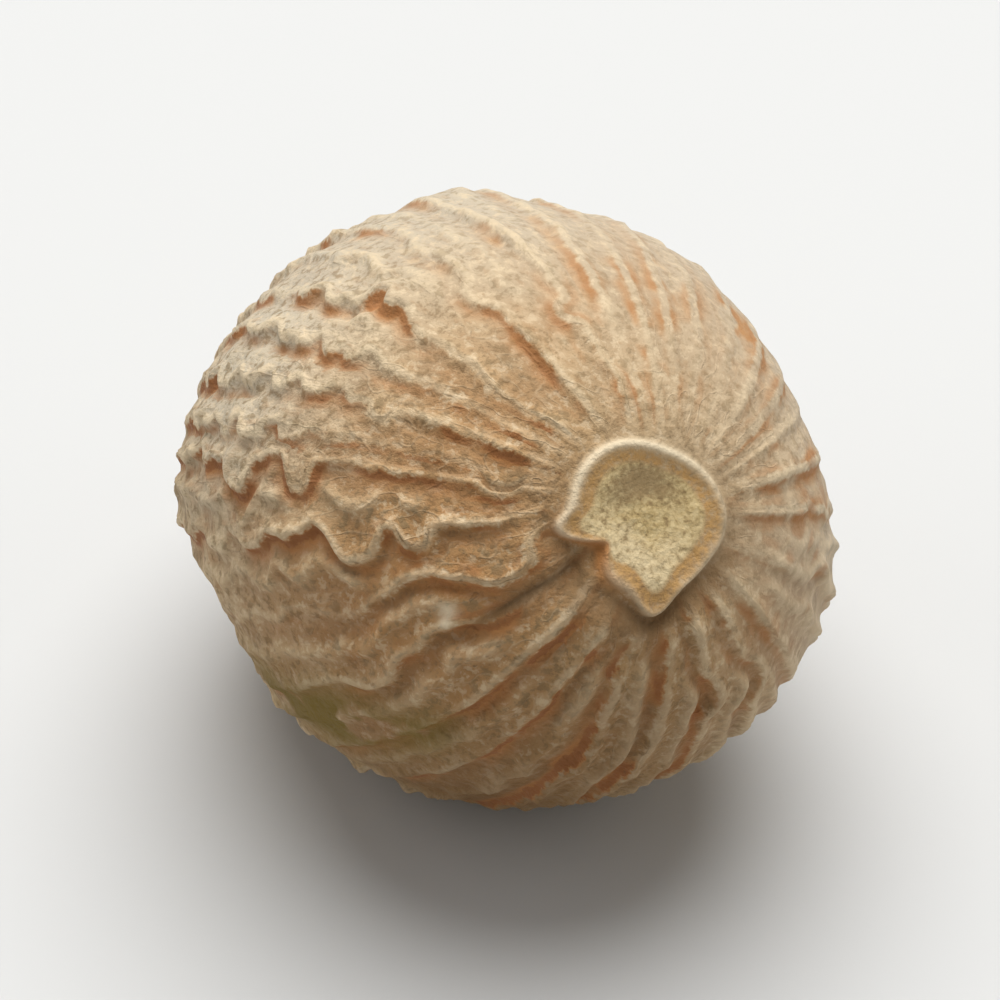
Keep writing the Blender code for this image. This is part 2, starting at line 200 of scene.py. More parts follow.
# Small teeth on the crests, minor folds in wide gaps, and the dry skin: the size of each grain, its height.
TOOTH_DEPTH = 0.23 * MM
TOOTH_LENGTH = (4.6, 7.4)
TOOTH_SQUARENESS = 3.4
TOOTH_DRIFT = (7.0, 1.8)
TOOTH_COMES_RATE = 4.3
TOOTH_LEAST_SHARE = 0.1
ZIGZAG_STEP = 1.9
ZIGZAG_DEPTH = 0.13 * MM
ZIGZAG_SHARE = 0.2
WAVER_STEP = 4.0
WAVER = 0.45
MINOR_FROM_ROOM = (1.9 * MM, 2.8 * MM)
MINOR_STRENGTH = 0.42
MINOR_WIDTH = 0.26 * MM
MINOR_WANDER = 0.10
MINOR_REGIONS = ((280.0, 48.0, 60.0, 40.0, 1.1 * MM), (210.0, 68.0, 22.0, 26.0, 1.1 * MM))
SKIN_GRAINS = ((1.9 * MM, 0.080 * MM), (0.85 * MM, 0.052 * MM), (0.42 * MM, 0.022 * MM))
SMOOTHER = 0.55
# Coat lower than this gets painted shade, darker the lower it lies.
HOLLOW_BELOW = 0.20 * MM

# Soft patches of tint and finish, some of them painted light and shade: azimuth, polar angle, their reaches,
# strength.
TINTS = {
    "rosy": (
        (56.0, 56.0, 66.0, 56.0, 0.95),
        (110.0, 70.0, 40.0, 40.0, 0.3),
        (336.0, 54.0, 30.0, 40.0, 1.0),
    ),
    # pale: chalky bloom, and in part painted light on the upper side of the seed.
    "pale": (
        (104.0, 86.0, 60.0, 34.0, 0.8),
        (352.0, 58.0, 32.0, 30.0, 0.6),
        (36.0, 60.0, 30.0, 30.0, 0.35),
        (164.0, 82.0, 30.0, 24.0, 0.5),
    ),
    # dim: painted shade, a darker brown on the lower side of the seed.
    "dim": (
        (264.0, 70.0, 38.0, 40.0, 0.74),
        (264.0, 84.0, 22.0, 16.0, 0.3),
        (288.0, 34.0, 24.0, 20.0, 0.15),
    ),
    # lichen: a yellow-green patch, its colour darkened in part as painted shade.
    "lichen": ((228.0, 78.0, 9.0, 12.0, 1.2), (236.0, 62.0, 6.0, 8.0, 0.8), (222.0, 92.0, 9.0, 9.0, 0.9)),
    # shade: painted shade on the upper part of the scar's dish, under the ring.
    "shade": ((116.0, 5.8, 74.0, 4.4, 1.0), (15.0, 3.5, 90.0, 3.5, 0.35)),
    "warm": (
        (196.0, 38.0, 38.0, 26.0, 0.75),
        (238.0, 46.0, 36.0, 34.0, 0.6),
        (206.0, 64.0, 22.0, 24.0, 0.3),
        (300.0, 38.0, 40.0, 24.0, 0.5),
        (146.0, 30.0, 30.0, 16.0, 0.5),
    ),
    "orange": (
        (50.0, 50.0, 8.0, 7.0, 2.2),
        (30.0, 42.0, 14.0, 12.0, 0.6),
        (78.0, 42.0, 14.0, 14.0, 0.6),
        (10.0, 36.0, 16.0, 14.0, 0.6),
        (96.0, 32.0, 16.0, 12.0, 0.5),
        (204.0, 36.0, 20.0, 14.0, 0.6),
    ),
    "net": (
        (215.0, 70.0, 20.0, 20.0, 0.4),
        (350.0, 46.0, 34.0, 28.0, 1.0),
        (175.0, 80.0, 30.0, 24.0, 0.3),
    ),
    "chalk": ((211.0, 39.5, 2.4, 1.5, 1.0), (214.0, 41.0, 1.5, 1.0, 1.0)),
}

# Patterns that run along the folds: how much shorter a meridian is, and the girth left at the two ends.
ALONG_FOLDS = 0.4
GIRTH_AT_POLES = 0.3

# Noise: how many values repeat, and for each pattern the size of its cells and the number of its layers.
LATTICE = 256
MOTTLE = (1.3 * MM, 4)
PATCHES = (1.0 * MM, 3)
VEINS = (0.9 * MM, 3)

# The pale net: the spacing of its meshes, and how far from the seed's surface their middles may lie.
NET_SPACING = 1.25 * MM
NET_SHELL = 0.09

# Where the finish of the scar changes, by degrees or by length beyond the crest of the ring.
FLOOR_INSET = 0.52 * MM
FLOOR_BLEND = 0.16 * MM
RIM_SHIFT = 0.05 * MM
RIM_WIDTH = 0.17 * MM
RIM_DULLED = 0.65
RIM_DULL_PLACE = (0.0, 40.0)
RIM_LOST_IN_NOTCH = 0.9
CLIFF_RISE = (-0.6, 0.2)
CLIFF_FALL = (1.4, 3.4)
MOAT_MARK_EDGE = (2.2, 5.7)
# Where the painted light on the lower part of the dish lies: azimuth and spread, then polar angles.
DISH_LIGHT_PLACE = (255.0, 75.0)
DISH_LIGHT_FROM_TO = (3.0, 8.0)
SCAR_EDGE = (0.3 * MM, 1.1 * MM)

# How far the finest grain, below the size of the grid, stands proud.
BUMP_DEPTH = 0.17 * MM

# ---------------------------------------------------------------- colours, as linear light
FLOOR_GREY = (0.37, 0.25, 0.12, 1.0)
FLOOR_BEIGE = (0.52, 0.36, 0.18, 1.0)
ROSY_BEIGE = (0.51, 0.385, 0.245, 1.0)
# Chalky bloom, made lighter as painted light where the upper side faces the lamp.
CHALK_AND_TOP_LIGHT = (0.545, 0.485, 0.38, 1.0)
WARM_BROWN = (0.43, 0.235, 0.092, 1.0)
FIBRE_BROWN = (0.36, 0.19, 0.075, 1.0)
SPECK_GREY = (0.24, 0.165, 0.08, 1.0)
PALE_SKIN = (0.72, 0.57, 0.37, 1.0)
# Painted shade on the lower side of the seed.
LOWER_SIDE_SHADE_BROWN = (0.19, 0.095, 0.03, 1.0)
# Rust-brown of the walls and of the flecks; on the walls it is partly painted shade.
WALL_SOFT = (0.42, 0.18, 0.056, 1.0)
# A shaded copy of the rust-brown: painted shade in the creases.
CREASE_SHADE_RED = (0.27, 0.10, 0.031, 1.0)
STREAK_ORANGE = (0.45, 0.215, 0.072, 1.0)
PIT_DARK = (0.15, 0.095, 0.042, 1.0)
# Painted shade in the hollows between the folds.
HOLLOW_SHADE_BROWN = (0.25, 0.11, 0.036, 1.0)
# Yellow-green of the lichen, darkened in part as painted shade.
LICHEN_GREEN_AND_SHADE = (0.195, 0.126, 0.021, 1.0)
# Painted shade in the moat and the groove.
RECESS_SHADE_GREY = (0.20, 0.115, 0.048, 1.0)
DISH_OLIVE = (0.52, 0.375, 0.165, 1.0)
DISH_CREAM = (0.65, 0.50, 0.255, 1.0)
# Painted shade on the upper part of the dish.
DISH_SHADE_GREY = (0.31, 0.21, 0.10, 1.0)
DISH_SPECK = (0.27, 0.18, 0.080, 1.0)
BAND_TAN = (0.50, 0.29, 0.105, 1.0)
# Orange-brown of the notch's cliff, darkened as painted shade.
CLIFF_BROWN_AND_SHADE = (0.44, 0.18, 0.045, 1.0)
RIM_PALE = (0.84, 0.71, 0.50, 1.0)


def bell(distance, width):
    """1 at the middle, falling off on both sides as a Gaussian."""
    return np.exp(-((distance / width) ** 2))


def ramp(low, high, value):
    """0 below low and 1 above high, with an even S-curve between."""
    share = np.clip((value - low) / (high - low), 0.0, 1.0)
    return share * share * (3.0 - 2.0 * share)


def around(azimuth, centre):
    """The signed angle from centre to azimuth, the short way round."""
    return (azimuth - centre + 180.0) % 360.0 - 180.0


def patch(azimuth, polar, regions):
    """The sum of soft oval patches, each with its own centre, reaches and strength."""
    total = np.zeros(np.broadcast_shapes(np.shape(azimuth), np.shape(polar)))
    for middle, middle_polar, reach, reach_polar, strength in regions:
        oval = bell(around(azimuth, middle), reach) * bell(polar - middle_polar, reach_polar)
        total = total + strength * oval
    return total


def lattice_noise(points, cell, seed):
    """Smooth noise from -1 to 1: a random value at each corner of a cubic lattice, blended between them."""
    random = np.random.default_rng(seed)
    shuffled = random.permutation(LATTICE)
    values = random.uniform(-1.0, 1.0, LATTICE)
    place = points / cell
    corner = np.floor(place).astype(int)
    share = place - corner
    share = share * share * (3.0 - 2.0 * share)
    total = np.zeros(points.shape[:-1])
    for step in np.ndindex(2, 2, 2):
        at = corner + step
        key = shuffled[at[..., 0] % LATTICE]
        key = shuffled[(key + at[..., 1]) % LATTICE]
        key = shuffled[(key + at[..., 2]) % LATTICE]
        weight = np.prod(np.where(np.array(step) == 1, share, 1.0 - share), axis=-1)
        total += weight * values[key]
    return total


def layered_noise(points, cell, layers, seed):
    """Value noise in layers, each with half the cell and half the height of the one before."""
    return sum(lattice_noise(points, cell / 2**k, seed + k) / 2**k for k in range(layers))


def cell_edges(points, spacing, seed):
    """How much farther the second nearest of scattered points is than the nearest: 0 on a net of edges."""
    random = np.random.default_rng(seed)
    low, high = points.min(axis=(0, 1)), points.max(axis=(0, 1))
    count = int(np.prod((high - low) / spacing))
    seeds = random.uniform(low, high, (count, 3))
    seeds = seeds[np.abs(np.linalg.norm(seeds / (high - low), axis=-1) - 0.5) < NET_SHELL]
    nearest = np.full(points.shape[:-1], np.inf)
    second = nearest.copy()
    for place in seeds:
        distance = np.linalg.norm(points - place, axis=-1)
        second = np.minimum(second, np.maximum(nearest, distance))
        nearest = np.minimum(nearest, distance)
    return second - nearest


def uneven(polar, step, seed):
    """A random zigzag along each fold, from -1 to 1: straight lines between values that are a step apart."""
    random = np.random.default_rng(seed)
    knots = np.arange(0.0, 180.0 + step, step)
    values = random.uniform(-1.0, 1.0, (len(FOLD_AZIMUTHS), len(knots)))
    shifts = random.uniform(0.0, step, len(FOLD_AZIMUTHS))
    return np.stack([np.interp(polar, knots - shift, row) for row, shift in zip(values, shifts)])


def crenel_share(azimuth, polar):
    """How strongly the folds are stepped and linked at a place, from 0 to 1."""
    return np.clip(patch(azimuth, polar, CRENEL_REGIONS), 0.0, 1.0)


def fold_paths(polar):
    """Azimuth of every crest at every polar angle, one row per fold and the first again at the end.

    A path is its base azimuth, less the bend that draws the folds beside the seam to the scar's corner, plus
    a slow sway, plus steps, plus its own swings. The steps are a sine pressed towards a square wave, so that
    the crest runs on, steps aside and runs on; a swing is exp(-(distance / reach)^4).
    """
    random = np.random.default_rng(SEED)
    base = np.array(FOLD_AZIMUTHS, float)
    gap = np.diff(np.append(base, base[0] + 360.0))
    room = np.minimum(gap, np.roll(gap, 1))[:, None]
    base = base[:, None]
    waves = random.uniform(0.0, 360.0, (len(base), 3))
    length = random.uniform(*CRENEL_LENGTH, len(base))[:, None]
    (slow, slow_rate), (quick, quick_rate) = SWAY_WAVES
    sway = slow * np.sin(np.radians(slow_rate * polar + waves[:, :1]))
    sway = sway + quick * np.sin(np.radians(quick_rate * polar + waves[:, 1:2]))
    beat = np.sin(2.0 * np.pi * polar / length + np.radians(waves[:, 2:]) + CRENEL_DRIFT * sway)
    steps = np.tanh(CRENEL_SQUARENESS * beat) * crenel_share(base, polar)
    near_seam = bell(around(base, FOLD_AZIMUTHS[SEAM_FOLD]), SEAM_BEND_SPREAD)
    bend = SEAM_BEND * bell(polar - SEAM_BEND_POLAR, SEAM_BEND_LENGTH) * near_seam
    paths = base - bend + room * ramp(*FOLD_START, polar) * (SWAY * sway + CRENEL * steps)
    for fold, middle, reach, shift in SWINGS:
        paths[fold] += shift * np.exp(-(((polar - middle) / reach) ** 4))
    for fold in range(1, len(paths)):
        paths[fold] = np.maximum(paths[fold], paths[fold - 1] + LEAST_GAP)
    return np.vstack([paths, paths[:1] + 360.0])


def fold_strengths(polar):
    """How high each fold stands along its path, as a share of FOLD_HEIGHT.

    It is a slow sine with a random waver, lowered in the low regions and faded in and out at the two ends.
    The seam starts closer to the scar and fades to a lower ridge.
    """
    random = np.random.default_rng(SEED + 1)
    base = np.array(FOLD_AZIMUTHS, float)[:, None]
    phase = random.uniform(0.0, 360.0, base.shape)
    rate = random.uniform(*FOLD_SHARE_RATE, base.shape)
    strength = FOLD_SHARE + FOLD_SHARE_SWING * np.sin(np.radians(rate * polar + phase))
    strength = strength * (1.0 + WAVER * uneven(polar, WAVER_STEP, SEED + 5))
    strength = strength * (1.0 - patch(base, polar, LOW_REGIONS))
    strength = strength * ramp(*FOLD_START, polar) * (1.0 - ramp(*FOLD_END, polar))
    faded = 1.0 - SEAM_FADE * ramp(*SEAM_FADE_FROM_TO, polar)
    strength[SEAM_FOLD] = SEAM_STRENGTH * ramp(*SEAM_START, polar) * faded
    return np.vstack([strength, strength[:1]])


def toothed_paths(polar, paths):
    """The crests' paths with small teeth added: a clipped sine that comes and goes along each fold."""
    random = np.random.default_rng(SEED + 3)
    base = np.array(FOLD_AZIMUTHS, float)[:, None]
    length = random.uniform(*TOOTH_LENGTH, base.shape)
    phase = random.uniform(0.0, 2.0 * np.pi, base.shape)
    rate, drift = TOOTH_DRIFT
    drift = drift * np.sin(np.radians(rate * polar) + phase)
    beat = np.sin(2.0 * np.pi * polar / length + phase + drift)
    comes = 0.5 + 0.5 * np.sin(np.radians(TOOTH_COMES_RATE * polar) + 2.0 * phase)
    share = crenel_share(base, polar)
    zigzag = ZIGZAG_DEPTH * (ZIGZAG_SHARE + share) * uneven(polar, ZIGZAG_STEP, SEED + 4)
    square = np.tanh(TOOTH_SQUARENESS * beat)
    size = TOOTH_DEPTH * comes * (TOOTH_LEAST_SHARE + share) * square + zigzag
    teeth = np.degrees(size * ramp(*FOLD_START, polar) / (POLAR_ARC * np.sin(np.radians(polar))))
    return paths + np.vstack([teeth, teeth[:1]])


def crest_distance(azimuth, polar, radius, paths, fold):
    """Distance of each point of the grid from the crest of its fold, as a length on the seed.

    The crest is a chain of straight pieces, one from each row of the grid to the next. The distance is the
    least of those to the pieces within DISTANCE_ROWS rows, each measured to the nearest point of the piece.
    """
    rows = np.arange(len(polar))[:, None]
    across = np.radians(azimuth) * radius
    along = np.radians(polar)[:, None] * POLAR_ARC
    nearest = np.full(azimuth.shape, np.inf)
    for shift in range(-DISTANCE_ROWS, DISTANCE_ROWS):
        first = np.clip(rows + shift, 0, len(polar) - 2)
        start = np.radians(paths[fold, first]) * radius - across
        rise = along[first[:, 0]] - along
        step = np.radians(paths[fold, first + 1]) * radius - across - start
        climb = along[first[:, 0] + 1] - along - rise
        share = np.clip(-(start * step + rise * climb) / (step**2 + climb**2), 0.0, 1.0)
        nearest = np.minimum(nearest, (start + share * step) ** 2 + (rise + share * climb) ** 2)
    return np.sqrt(nearest)


def crest(distance, steepness):
    """Cross-section of one side of a fold: the steep side falls into a crease, the gentle one runs out."""
    edge = bell(distance, STEEP_WIDTH)
    steep = edge - CREASE_DEPTH * bell(distance - CREASE_AT, CREASE_WIDTH)
    gentle = EDGE_SHARE * edge + (1.0 - EDGE_SHARE) * bell(distance, GENTLE_WIDTH)
    return steepness * steep + (1.0 - steepness) * gentle


def one_fold(azimuth, polar, radius, paths, fold, strength):
    """Height of one crest at each point, the distance from it, and how steep that side is, from -1 to 1.

    The side that faces LEAN_AZIMUTH is the steep one; near that azimuth and opposite it both are alike.
    """
    distance = crest_distance(azimuth, polar, radius, paths, fold)
    side = np.where(azimuth > paths[fold, np.arange(len(polar))[:, None]], 1.0, -1.0)
    below = around(LEAN_AZIMUTH, azimuth)
    lean = np.tanh(below / LEAN_BLEND) * np.tanh((180.0 - abs(below)) / LEAN_BLEND)
    return strength * crest(distance, 0.5 + 0.5 * lean * side), distance, lean * side


def link_relief(polar, fold, share, gap):
    """Height of the short cross-folds that tie neighbouring crests, at scattered polar angles in each gap.

    Each is a Gaussian across a slanted line from one crest to the next. Where two meet, the higher counts.
    """
    random = np.random.default_rng(SEED + 2)
    height = np.zeros(gap.shape)
    count = len(FOLD_AZIMUTHS)
    base = np.array(FOLD_AZIMUTHS, float)
    for _ in range(LINKS_IN_GAP):
        place = random.uniform(*LINK_FROM_TO, count)[fold]
        slant = random.uniform(*LINK_SLANT, count)[fold]
        strength = random.uniform(*LINK_SHARE, count)[fold] * crenel_share(base[fold], place)
        away = np.radians(polar[:, None] - place - slant * (share - 0.5)) * POLAR_ARC
        height = np.maximum(height, strength * bell(away, LINK_WIDTH))
    return LINK_HEIGHT * height * ramp(0.0, FOLD_ROOM, gap)


def ring_offset(azimuth):
    """How far the ring's crest lies beyond RING_POLAR at each azimuth."""
    return sum(height * bell(around(azimuth, middle), reach) for middle, reach, height in RING_CORNERS)


def wall_span(azimuth):
    """How broad the outer wall of the ring is at each azimuth, in degrees of polar angle."""
    more = sum(extra * bell(around(azimuth, middle), reach) for middle, reach, extra in WALL_BROADENINGS)
    return WALL_SPAN + more


def scar_relief(nominal, polar, azimuth):
    """Height of the dish, the ring round it and the moat outside; nominal is RING_POLAR on the ring's crest.

    The dish is a round bowl with an S-shaped side. The ring is a Gaussian towards the dish and falls away
    outside as an S-curve as broad as wall_span, at whose foot the moat lies on the lower side. In the notch
    the ring is only the edge of a small cliff.
    """
    out = nominal - RING_POLAR
    notch = bell(around(azimuth, NOTCH_AZIMUTH), NOTCH_SPREAD)
    dish = -DISH_DEPTH * (1.0 - ramp(DISH_FLOOR_POLAR, RING_POLAR, polar))
    inside = bell(np.radians(out) * HALF_BREADTH, RING_WIDTH)
    fall = ramp(0.0, wall_span(azimuth), out)
    ring = RING_HEIGHT * np.where(out < 0.0, inside, 1.0 - fall) * (1.0 - NOTCH_RING_LOSS * notch)
    rise = ramp(wall_span(azimuth), wall_span(azimuth) + MOAT_SPAN, out)
    moat = -MOAT_DEPTH * fall * (1.0 - rise) * bell(around(azimuth, MOAT_AZIMUTH), MOAT_SPREAD)
    cliff = -NOTCH_DROP * notch * ramp(*NOTCH_FROM_TO, out) * (1.0 - rise)
    return dish + ring + moat + cliff


def groove_relief(polar, azimuth, radius):
    """Depth of the groove that runs beside the seam."""
    across = np.radians(around(azimuth, GROOVE_AZIMUTH)) * radius
    along = ramp(*GROOVE_FROM, polar) * (1.0 - ramp(*GROOVE_TO, polar))
    return -GROOVE_DEPTH * bell(across, GROOVE_WIDTH) * along


def bare_seed(polar, azimuth):
    """Points and outward directions of the smooth seed: an ellipsoid, fuller towards the scar."""
    turned = np.radians(azimuth - BROAD_AZIMUTH)
    polar = np.radians(polar)
    fuller = 1.0 + BLUNTNESS * np.cos(polar)
    broad = HALF_BREADTH * fuller * np.sin(polar) * np.cos(turned)
    thick = HALF_THICKNESS * fuller * np.sin(polar) * np.sin(turned)
    along = HALF_LENGTH * np.cos(polar) * np.ones_like(turned)
    out = np.stack([broad / HALF_BREADTH**2, thick / HALF_THICKNESS**2, along / HALF_LENGTH**2], axis=-1)
    out /= np.linalg.norm(out, axis=-1, keepdims=True)
    points = np.stack([broad, thick, along], axis=-1)
    back = np.array(Matrix.Rotation(np.radians(BROAD_AZIMUTH), 3, "Z"))
    return points @ back.T, out @ back.T


def lie_down():
    """The turn that brings the seed's own axes to the way it lies."""
    turn = Matrix.Rotation(np.radians(SCAR_HEADING), 3, "Z")
    turn = turn @ Matrix.Rotation(np.radians(90.0 - SCAR_LIFT), 3, "X")
    return np.array(turn @ Matrix.Rotation(np.radians(OWN_TURN), 3, "Z"))


def swell(points):
    """Height of the broad hollows and swellings, by distance from the middle of each."""
    height = np.zeros(points.shape[:-1])
    for azimuth, polar, reach, rise in SWELLINGS:
        middle, _ = bare_seed(np.array(polar), np.array(azimuth))
        height += rise * bell(np.linalg.norm(points - middle, axis=-1), reach)
    return height


def grid_columns():
    """Which fold each column of the grid follows, and its share of the way to the next fold."""
    base = np.array(FOLD_AZIMUTHS, float)
    gap = np.diff(np.append(base, base[0] + 360.0))
    count = np.maximum(np.round(gap * COLUMNS_PER_DEGREE).astype(int), FEWEST_IN_GAP)
    fold = np.repeat(np.arange(len(base)), count)
    first = (np.cumsum(count) - count)[fold]
    return fold[None, :], ((np.arange(len(fold)) - first) / count[fold])[None, :]


def fold_marks(azimuth, nominal, radius, paths, strengths, fold, share, gap):
    """Height of all folds at each point, and for the nearest crest its distance in mm, side and strength.

    The folds are the crest before each point, the one after it, a minor one between them where there is
    room, and the slightly raised floor.
    """
    row = np.arange(len(nominal))[:, None]
    fine = toothed_paths(nominal, paths)
    before, after = strengths[fold, row], strengths[fold + 1, row]
    nearer = one_fold(azimuth, nominal, radius, fine, fold, before)
    farther = one_fold(azimuth, nominal, radius, fine, fold + 1, after)
    wander = MINOR_WANDER * uneven(nominal, WAVER_STEP, SEED + 6)[fold, row]
    room = ramp(*MINOR_FROM_ROOM, gap + patch(azimuth, nominal[:, None], MINOR_REGIONS))
    minor = MINOR_STRENGTH * room * (before + after) * bell((share - 0.5 + wander) * gap, MINOR_WIDTH)
    squeeze = np.minimum(1.0, gap / FOLD_ROOM)
    floor = (before + after) * 2.0 * share * (1.0 - share)
    height = squeeze * (FOLD_HEIGHT * (nearer[0] + farther[0] + minor) + PILLOW_HEIGHT * floor)
    first = nearer[1] < farther[1]
    marks = {
        "off_crest": np.where(first, nearer[1], farther[1]) / MM,
        "steep_side": np.where(first, nearer[2], farther[2]),
        "strength": np.where(first, before, after) * np.sqrt(squeeze),
        "minor": minor,
    }
    return height, marks


def scar_marks(nominal, azimuth):
    """Where the parts of the scar are, from 0 to 1: floor, band, rim, cliff, moat, painted light on the dish
    and the whole.

    Each is a product of S-curves of the distance beyond the ring's crest and Gaussians of the azimuth.
    """
    beyond = nominal - RING_POLAR
    out = np.radians(beyond) * HALF_BREADTH
    span = wall_span(azimuth)
    notch = bell(around(azimuth, NOTCH_AZIMUTH), NOTCH_SPREAD)
    inset = FLOOR_INSET * (1.0 - notch)
    floor = 1.0 - ramp(-inset - FLOOR_BLEND, -inset, out)
    band = (1.0 - floor) * (1.0 - ramp(-RIM_WIDTH, 0.0, out))
    lower = bell(around(azimuth, MOAT_AZIMUTH), MOAT_SPREAD)
    dull, dull_spread = RIM_DULL_PLACE
    rim = bell(out - RIM_SHIFT, RIM_WIDTH) * (1.0 - RIM_DULLED * lower) * (1.0 - RIM_LOST_IN_NOTCH * notch)
    rim = rim * (1.0 - RIM_DULLED * bell(around(azimuth, dull), dull_spread))
    # cliff: where the orange-brown and painted shade of the notch's wall go.
    cliff = np.sqrt(notch) * ramp(*CLIFF_RISE, beyond) * (1.0 - ramp(*CLIFF_FALL, beyond))
    # moat: where the moat's painted shade goes.
    moat = ramp(0.5 * span, span, beyond) * (1.0 - ramp(*MOAT_MARK_EDGE, beyond - span)) * lower
    # Painted light on the lower part of the dish, which faces the lamp.
    cream_azimuth, cream_spread = DISH_LIGHT_PLACE
    dish_light = bell(around(azimuth, cream_azimuth), cream_spread) * ramp(*DISH_LIGHT_FROM_TO, nominal)
    scar = 1.0 - ramp(*SCAR_EDGE, out)
    marks = {"floor": floor, "band": band, "rim": rim, "cliff": cliff}
    return marks | {"moat": moat, "dish_light": dish_light, "scar": scar}


def fold_course(polar, azimuth):
    """Places for patterns that run along the folds: a meridian is shortened by ALONG_FOLDS."""
    girth = HALF_BREADTH * (GIRTH_AT_POLES + (1.0 - GIRTH_AT_POLES) * np.sin(np.radians(polar)))
    turned = np.radians(azimuth)
    along = np.radians(polar) * POLAR_ARC * ALONG_FOLDS
    return np.stack([girth * np.cos(turned), girth * np.sin(turned), along], axis=-1)


def seed_surface():
    """The grid of points in the way that the seed lies, its two end points, and the marks on each point.

    Each point is that of the bare seed, moved outwards by the swellings, the coat, the scar and the grain,
    less the tail dimple. Near the lowest point the coat, the scar and the grain are worn away.
    """
    nominal = np.concatenate([np.linspace(*SCAR_ROWS), np.linspace(*NEAR_ROWS), np.linspace(*FAR_ROWS)])
    fold, share = grid_columns()
    paths = fold_paths(nominal)
    strengths = fold_strengths(nominal)
    row = np.arange(len(nominal))[:, None]
    azimuth = (1.0 - share) * paths[fold, row] + share * paths[fold + 1, row]
    follow = ramp(0.0, RING_POLAR, nominal) * (1.0 - ramp(RING_POLAR, RING_FOLLOWED_TO, nominal))
    polar = nominal[:, None] + ring_offset(azimuth) * follow[:, None]
    points, out = bare_seed(polar, azimuth)
    course = fold_course(polar, azimuth)
    radius = (HALF_BREADTH + HALF_THICKNESS) / 2.0 * np.sin(np.radians(nominal))[:, None]
    gap = np.radians(paths[fold + 1, row] - paths[fold, row]) * radius
    coat, marks = fold_marks(azimuth, nominal, radius, paths, strengths, fold, share, gap)
    links = link_relief(nominal, fold, share, gap)
    groove = groove_relief(polar, azimuth, radius)
    marks["link"] = ramp(*LINK_SHOWN, links / LINK_HEIGHT) * (links > coat)
    marks["groove"] = -groove / GROOVE_DEPTH
    coat = np.maximum(coat, links) + groove
    # hollow: where the painted shade of the low spots goes.
    marks["hollow"] = 1.0 - ramp(0.0, HOLLOW_BELOW, coat)
    scar = scar_relief(nominal[:, None], polar, azimuth)
    tail = TAIL_DIMPLE_DEPTH * bell(np.radians(180.0 - polar) * HALF_BREADTH, TAIL_DIMPLE_WIDTH)
    grain = sum(depth * lattice_noise(points, cell, SEED + 10) for cell, depth in SKIN_GRAINS)
    turn = lie_down()
    lying = points @ turn.T
    lowest = lying[np.unravel_index(np.argmin(lying[..., 2]), lying.shape[:2])]
    worn = 1.0 - ramp(*WORN_REACH, np.linalg.norm(lying - lowest, axis=-1))
    for name, regions in TINTS.items():
        marks[name] = patch(azimuth, polar, regions)
    grain = grain * (1.0 - SMOOTHER * np.minimum(marks["rosy"], 1.0))
    height = swell(points) + (coat + scar + grain) * (1.0 - worn) - tail
    ends = np.array([[0.0, 0.0, HALF_LENGTH - DISH_DEPTH], [0.0, 0.0, TAIL_DIMPLE_DEPTH - HALF_LENGTH]])
    marks["mottle"] = layered_noise(points, *MOTTLE, SEED + 20)
    marks["patchy"] = layered_noise(course, *PATCHES, SEED + 30)
    marks["vein"] = layered_noise(course, *VEINS, SEED + 40)
    marks["net_edge"] = cell_edges(points, NET_SPACING, SEED + 50) / MM
    marks.update(scar_marks(nominal[:, None], azimuth))
    return lying + height[..., None] * (out @ turn.T), ends @ turn.T, marks, course / MM


def set_down(grid, ends):
    """Flattens the lowest stretch into the spot that the seed rests on, and puts its foot at the origin."""
    floor = grid[..., 2].min() + REST_CUT
    grid[..., 2] = np.maximum(grid[..., 2], floor)
    low = np.minimum(grid.min(axis=(0, 1)), ends.min(axis=0))
    high = np.maximum(grid.max(axis=(0, 1)), ends.max(axis=0))
    foot = np.array([(low[0] + high[0]) / 2.0, (low[1] + high[1]) / 2.0, floor])
    return grid - foot, ends - foot, -foot


def closed_skin(rows, columns):
    """Faces of a grid wrapped into a ball: rows of quads, and a fan of triangles at each end."""
    start = np.arange(rows * columns).reshape(rows, columns)
    nearer, farther = start[:-1], start[1:]
    quads = np.stack([nearer, farther, np.roll(farther, -1, 1), np.roll(nearer, -1, 1)], axis=-1)
    first, last = start[0], start[-1]
    cap = np.stack([np.full(columns, rows * columns), first, np.roll(first, -1)], axis=-1)
    end = np.stack([np.full(columns, rows * columns + 1), np.roll(last, -1), last], axis=-1)
    return quads.reshape(-1, 4), np.vstack([cap, end])


def skin_mesh(name, points, quads, triangles):
    """A mesh from arrays of points, four-cornered and three-cornered faces."""
    mesh = bpy.data.meshes.new(name)
    mesh.vertices.add(len(points))
    mesh.vertices.foreach_set("co", points.astype(np.float32).ravel())
    corners = np.concatenate([quads.ravel(), triangles.ravel()])
    sizes = np.concatenate([np.full(len(quads), 4), np.full(len(triangles), 3)])
    mesh.loops.add(len(corners))
    mesh.loops.foreach_set("vertex_index", corners.astype(np.int32))
    mesh.polygons.add(len(sizes))
    mesh.polygons.foreach_set("loop_start", (np.cumsum(sizes) - sizes).astype(np.int32))
    mesh.update(calc_edges=True)
    mesh.validate()
    mesh.shade_smooth()
    return mesh


